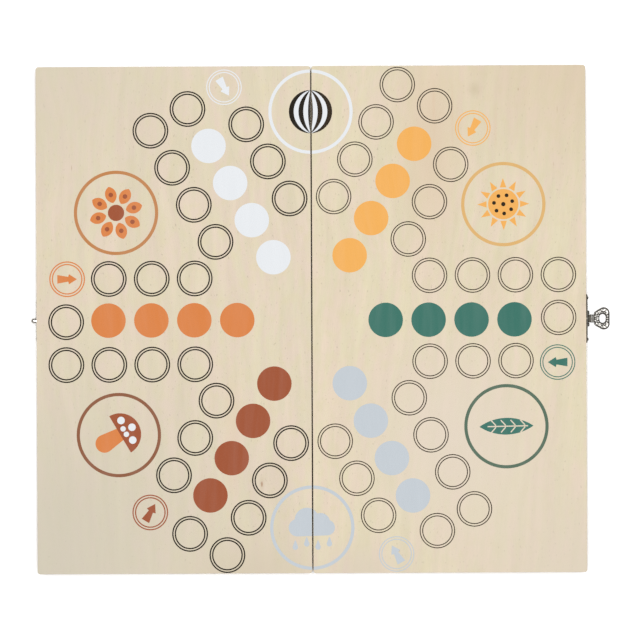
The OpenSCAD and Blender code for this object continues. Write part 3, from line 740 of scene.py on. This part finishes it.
def relief(name, body, local, add, cut, step, height, top, worn=1.0):
    """A thin cast plate over the loops, with a height from 0 to 1 worked out for each point.

    The height is a function of a point's place and of its distance to the edge.
    Worn says how bright the relief has been rubbed.
    """
    xs = [p[0] for loop in add for p in loop]
    ys = [p[1] for loop in add for p in loop]
    grid = []
    for i in range(int((max(xs) - min(xs)) / step)):
        for j in range(int((max(ys) - min(ys)) / step)):
            shift = step / 2 if i % 2 else 0
            grid.append((min(xs) + (i + 0.5) * step, min(ys) + (j + 0.5) * step + shift))
    points, tris = region(add, cut, (), grid)
    edge = sorted({i for e in rim_edges(tris) for i in e})
    tree = KDTree(len(edge))
    for i in edge:
        tree.insert((*points[i], 0), i)
    tree.balance()
    levels = [height(u, v, tree.find((u, v, 0))[2]) for u, v in points]
    verts, faces = slab(points, tris, -SUNK, [LOWEST + (top - LOWEST) * h for h in levels])
    verts = [local @ Vector(v) for v in verts]
    piece = add_mesh(name, verts, faces, body, relief_metal, smooth=True)
    mark = piece.data.attributes.new("relief", "FLOAT", "POINT")
    mark.data.foreach_set("value", [0.0] * len(points) + [worn * h for h in levels])


# Tongue of the hasp, with u along it from the pin's axis and v across it

PIN_R = 0.5
HASP_X, HASP_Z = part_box("hasp_pin")[0].x / MM + PIN_R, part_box("hasp_pin")[0].z / MM + PIN_R
# Length, thickness and the height of the relief
TONGUE_L, TONGUE_T, TONGUE_TOP = 13.6, 0.8, 0.34
# The neck: half its width, its start within the knuckle and in front of it, and the end of its plain part
NECK, NECK_ROOT, NECK_START, NECK_END = 2.3, 0.8, 1.9, 4.2
# Centre and radius of the shoulder and of the lobe on each side
SHOULDER, SHOULDER_R, LOBE, LOBE_R = (5.8, 2.9), 1.5, (10.1, 3.1), 3.5
# Radius of the knuckle and of its bore, the rounding of its ends, and its steps
KNUCKLE_R, BORE_R, ROUNDED, KNUCKLE_STEPS = 1.1, 0.55, 0.15, 48
# The slot: its place, the radius of its ends and half its straight stretch
SLOT_U, SLOT_R, SLOT_STRAIGHT = 9.3, 2.05, 0.6
# How far the relief stays off the outline and off the slot, and how often its rope swells on the way round
OUTLINE_BORDER, SLOT_BORDER, ROPE_TURNS = 0.1, 0.04, 15
# Angle at which the tip leans on the table
DROP = math.asin((HASP_Z - TONGUE_T / 2) / TONGUE_L)


def slot_loop(border):
    """The slot's outline, moved outwards."""
    r, half = SLOT_R + border, [math.radians(a) for a in range(0, 181, 5)]
    top = [(SLOT_U + r * math.cos(a), SLOT_STRAIGHT + r * math.sin(a)) for a in half]
    return [top + [(2 * SLOT_U - u, -v) for u, v in top]]


def tongue_loops(inset):
    """The tongue's outline from its neck to its tip, moved inwards."""
    loops = [rectangle(NECK_START, -NECK + inset, SHOULDER[0], NECK - inset)]
    for side in (LEFT, RIGHT):
        shoulder, lobe = (SHOULDER[0], side * SHOULDER[1]), (LOBE[0], side * LOBE[1])
        loops += bar(shoulder, SHOULDER_R - inset, lobe, LOBE_R - inset)
    x0, x1 = SHOULDER[0] - SHOULDER_R + inset, TONGUE_L - inset
    loops.append([(x0, -SHOULDER[1]), (x1, -LOBE[1]), (x1, LOBE[1]), (x0, SHOULDER[1])])
    return [dense(loop) for loop in loops]


# Four scrolls on each side, each with a bead in it
TONGUE_COILS = [(5.75, 3.05, 0.6, -1.1, 0.72), (7.7, 3.95, 3.4, 1.1, 0.82), (9.75, 4.75, 2.2, 1.15, 0.86),
                (11.55, 4.3, 5.2, -1.1, 0.74)]
TONGUE_SCROLLS = scrolls(TONGUE_COILS, 1, -1)
TONGUE_BEADS = [(cu, side * cv, 0.34) for cu, cv, *_ in TONGUE_COILS for side in (LEFT, RIGHT)]
# Five larger beads around the tip
TONGUE_BEADS += [(12.3 - 0.05 * i * i, i * 1.45, 0.5) for i in range(-2, 3)]
# A fan of leaves between the neck and the slot, each given by its two ends
TONGUE_LEAVES = [(6.75, -0.45, 4.9, -1.0), (6.75, 0.45, 4.9, 1.0), (6.7, 0, 4.7, 0),
                 (6.3, -1.6, 5.0, -1.75), (6.3, 1.6, 5.0, 1.75)]


def line_distance(u, v, a, b, c, d):
    """Distance of u, v from the line between a, b and c, d."""
    t = max(0, min(1, ((u - a) * (c - a) + (v - b) * (d - b)) / ((c - a) ** 2 + (d - b) ** 2)))
    return math.dist((u, v), (a + t * (c - a), b + t * (d - b)))


def tongue_height(u, v, d):
    """A roped border, beads, scrolls and leaves, and two low ridges across the neck."""
    rope = 0.5 + 0.5 * math.cos(ROPE_TURNS * math.atan2(v, u - SLOT_U))
    h = rope * ridge(d, 0.95, 0.36)
    h = max([h] + [knob(u, v, cu, cv, r) for cu, cv, r in TONGUE_BEADS])
    near = min(math.dist((u, v), p) for p in TONGUE_SCROLLS)
    h = max(h, 0.95 * ridge(near, 0, 0.32))
    h = max([h] + [0.9 * ridge(line_distance(u, v, *leaf), 0, 0.34) for leaf in TONGUE_LEAVES])
    if u < NECK_END:
        h = max(0.2, 0.3 * ridge(u, 2.4, 0.35), 0.3 * ridge(u, 3.3, 0.35)) * min(1, d / 0.2)
    return h


tongue_frame = Matrix.Translation((HASP_X, 0, HASP_Z)) @ Matrix.Rotation(DROP, 4, "Y") \
    @ Matrix.Translation((0, 0, TONGUE_T / 2))


def tongue_knuckle():
    """A tube about the pin: rings of points, joined from each to the next and back to the first."""
    n, inner, small = KNUCKLE_STEPS, NECK - ROUNDED, KNUCKLE_R - ROUNDED
    profile = [(-NECK, small), (-inner, KNUCKLE_R), (inner, KNUCKLE_R), (NECK, small), (NECK, BORE_R),
               (-NECK, BORE_R)]
    verts = [(x, v, z - TONGUE_T / 2) for v, r in profile for x, z in circle(0, 0, r, n)]
    faces = []
    for row in range(len(profile)):
        above = (row + 1) % len(profile)
        for i in range(n):
            after = (i + 1) % n
            faces.append([row * n + i, row * n + after, above * n + after, above * n + i])
    return verts, faces


def tongue_body():
    """The tongue's flat part with its slot, and its knuckle."""
    loops = tongue_loops(0) + [rectangle(NECK_ROOT, -NECK, SHOULDER[0], NECK)]
    flat = slab(*region(loops, slot_loop(0)), -TONGUE_T, 0.0)
    verts, faces = join([flat, tongue_knuckle()])
    verts = [tongue_frame @ Vector(v) for v in verts]
    add_mesh("hasp_tongue_body", verts, faces, "hasp_tongue", nickel, ["hasp_tongue"])


tongue_body()
relief("hasp_tongue_relief", "hasp_tongue", tongue_frame, tongue_loops(OUTLINE_BORDER),
       slot_loop(SLOT_BORDER), TONGUE_STEP, tongue_height, TONGUE_TOP)


# Plates of the hasp and the catch, with u along the wall and v up it

# Place of the outer wall's face, and radius of the holes that the relief leaves for the nails
WALL_X, NAIL_HOLE_R = right_high.x, 1.3


def two_lobes(y, z, r, middle_z, middle_r):
    """A field with a lobe on either side, each loop with more points."""
    loops = bar((-y, z), r, (0, middle_z), middle_r) + bar((y, z), r, (0, middle_z), middle_r)
    return [dense(loop) for loop in loops]


def nail_holes(y, z):
    return [dense(circle(side * y, z, NAIL_HOLE_R, 32)) for side in (LEFT, RIGHT)]


# The hasp's plate: its thickness, the height of its relief and where that starts above the knuckles
PLATE_T, PLATE_TOP, PLATE_FOOT = 0.7, 0.5, 2.8
# Centre and radius of its two nail lobes, of its middle field and of its top lobe
NAIL_Y, NAIL_Z, NAIL_LOBE_R = 12.3, 3.2, 2.2
FIELD_Z, FIELD_R, TOP_Z, TOP_R = 4.6, 4.1, 9.4, 2.3
# Three scrolls on each side
PLATE_COILS = [(2.9, 5.2, 1.0, 1.2, 1.2), (7.6, 4.2, 2.5, 1.1, 0.9), (1.0, 9.6, 3.6, -0.9, 0.7)]
PLATE_SCROLLS = scrolls(PLATE_COILS, -1, 1)
below_foot = dense(rectangle(-16, -4, 16, PLATE_FOOT))
plate_frame = Matrix(((0, 0, 1, WALL_X + PLATE_T), (1, 0, 0, 0), (0, 1, 0, HASP_Z), (0, 0, 0, 1)))
plate_loops = two_lobes(NAIL_Y, NAIL_Z, NAIL_LOBE_R, FIELD_Z, FIELD_R)
plate_loops += [dense(loop) for loop in bar((0, FIELD_Z), FIELD_R, (0, TOP_Z), TOP_R)]
plate_cuts = nail_holes(NAIL_Y, NAIL_Z) + [below_foot]


def plate_height(u, v, d):
    """A raised border, three scrolls on either side and two knobs."""
    near = min(math.dist((u, v), p) for p in PLATE_SCROLLS)
    knobs = max(knob(u, v, 0, 7.2, 0.8), knob(u, v, 0, 4.0, 0.6))
    return max(ridge(d, 0.45, 0.4), 0.9 * ridge(near, 0, 0.36), knobs)


relief("hasp_plate_relief", "right_half", plate_frame, plate_loops, plate_cuts, PLATE_STEP, plate_height,
       PLATE_TOP, worn=0.3)

# The catch's plate: its thickness and the height of its relief
CATCH_T, CATCH_TOP = 0.5, 0.15
# Height of its nub over the table, and radius of the hole that the relief leaves for it
NUB_Z, NUB_HOLE_R = 8.0, 1.8
# Place and radius of its nail lobes, and radius of its middle field
CATCH_Y, CATCH_LOBE_R, CATCH_R = 10.6, 1.8, 3.7
catch_x = 2 * FOLD_X - WALL_X - CATCH_T
catch_frame = Matrix(((0, 0, -1, catch_x), (-1, 0, 0, 0), (0, 1, 0, NUB_Z), (0, 0, 0, 1)))
catch_loops = two_lobes(CATCH_Y, 0, CATCH_LOBE_R, 0, CATCH_R)
catch_cuts = nail_holes(CATCH_Y, 0) + [dense(circle(0, 0, NUB_HOLE_R, 48))]


def catch_height(u, v, d):
    """A raised border, a ring round the nub and two knobs on either side."""
    return max(ridge(d, 0.45, 0.4), 0.8 * ridge(abs(math.hypot(u, v) - 2.7), 0, 0.35),
               0.9 * knob(abs(u), v, 5.6, 0, 0.7), 0.8 * knob(abs(u), v, 7.4, 0, 0.5))


relief("catch_plate_relief", "left_half", catch_frame, catch_loops, catch_cuts, PLATE_STEP, catch_height,
       CATCH_TOP)


# Floor

# Distance from the middle of the floor to its sides, in metres
FLOOR = 6
floor_mesh = bpy.data.meshes.new("floor")
floor_mesh.from_pydata([(x, y, 0) for x, y in rectangle(-FLOOR, -FLOOR, FLOOR, FLOOR)], [], [[0, 1, 2, 3]])
floor = bpy.data.objects.new("floor", floor_mesh)
bpy.context.scene.collection.objects.link(floor)
s = Shader("floor")
floor_mesh.materials.append(s.finish(
    Base_Color=s.mix(s.noise((400, 400, 400)), (0.93, 0.93, 0.93), (0.95, 0.95, 0.95)), Roughness=0.8))


# Light

# Two soft lamps high over the box, one on either side: their size and place in metres, and their power
LAMP_SIZE, LAMP_POWER, LAMP_X, LAMP_Y, LAMP_Z = (0.4, 3.2), 630, 0.88, 0.3, 14
# Strength of the sky, and its tones high up and low down
SKY, SKY_HIGH, SKY_LOW = 0.93, (1, 1, 1, 1), (0.25, 0.25, 0.26, 1)


def area_light(side):
    """A lamp that faces the box."""
    data = bpy.data.lights.new(HALF[side] + "_light", "AREA")
    data.shape = "RECTANGLE"
    data.size, data.size_y = LAMP_SIZE
    data.energy = LAMP_POWER * LIGHT
    lamp = bpy.data.objects.new(HALF[side] + "_light", data)
    lamp.location = (side * LAMP_X, LAMP_Y, LAMP_Z)
    lamp.rotation_euler = (-math.atan2(LAMP_Y, LAMP_Z), math.atan2(side * LAMP_X, LAMP_Z), 0)
    bpy.context.scene.collection.objects.link(lamp)


for side in (LEFT, RIGHT):
    area_light(side)

world = bpy.data.worlds.new("studio")
bpy.context.scene.world = world
world.use_nodes = True
nodes, links = world.node_tree.nodes, world.node_tree.links
up = nodes.new("ShaderNodeSeparateXYZ")
links.new(nodes.new("ShaderNodeTexCoord").outputs["Generated"], up.inputs[0])
sky = nodes.new("ShaderNodeValToRGB")
sky.color_ramp.elements[0].position = 0.55
sky.color_ramp.elements[0].color = SKY_LOW
sky.color_ramp.elements[1].position = 0.85
sky.color_ramp.elements[1].color = SKY_HIGH
links.new(up.outputs[2], sky.inputs[0])
links.new(sky.outputs[0], nodes["Background"].inputs["Color"])
nodes["Background"].inputs["Strength"].default_value = SKY * LIGHT


# Camera

# It looks straight down: the width of its view and its distance from the panels, in metres
VIEW_W, DISTANCE = 0.3786, 5.0
# The width of its sensor and its place in millimetres, and its roll in degrees
SENSOR, CAMERA_X, CAMERA_Y, ROLL = 36, -0.31, -0.24, -0.25
camera_data = bpy.data.cameras.new("camera")
camera_data.sensor_width = SENSOR
camera_data.lens = SENSOR * DISTANCE / VIEW_W
camera = bpy.data.objects.new("camera", camera_data)
camera.location = (CAMERA_X * MM, CAMERA_Y * MM, TOP * MM + DISTANCE)
camera.rotation_euler = (0, 0, math.radians(ROLL))
bpy.context.scene.collection.objects.link(camera)
bpy.context.scene.camera = camera
bpy.context.scene.view_settings.view_transform = "Standard"
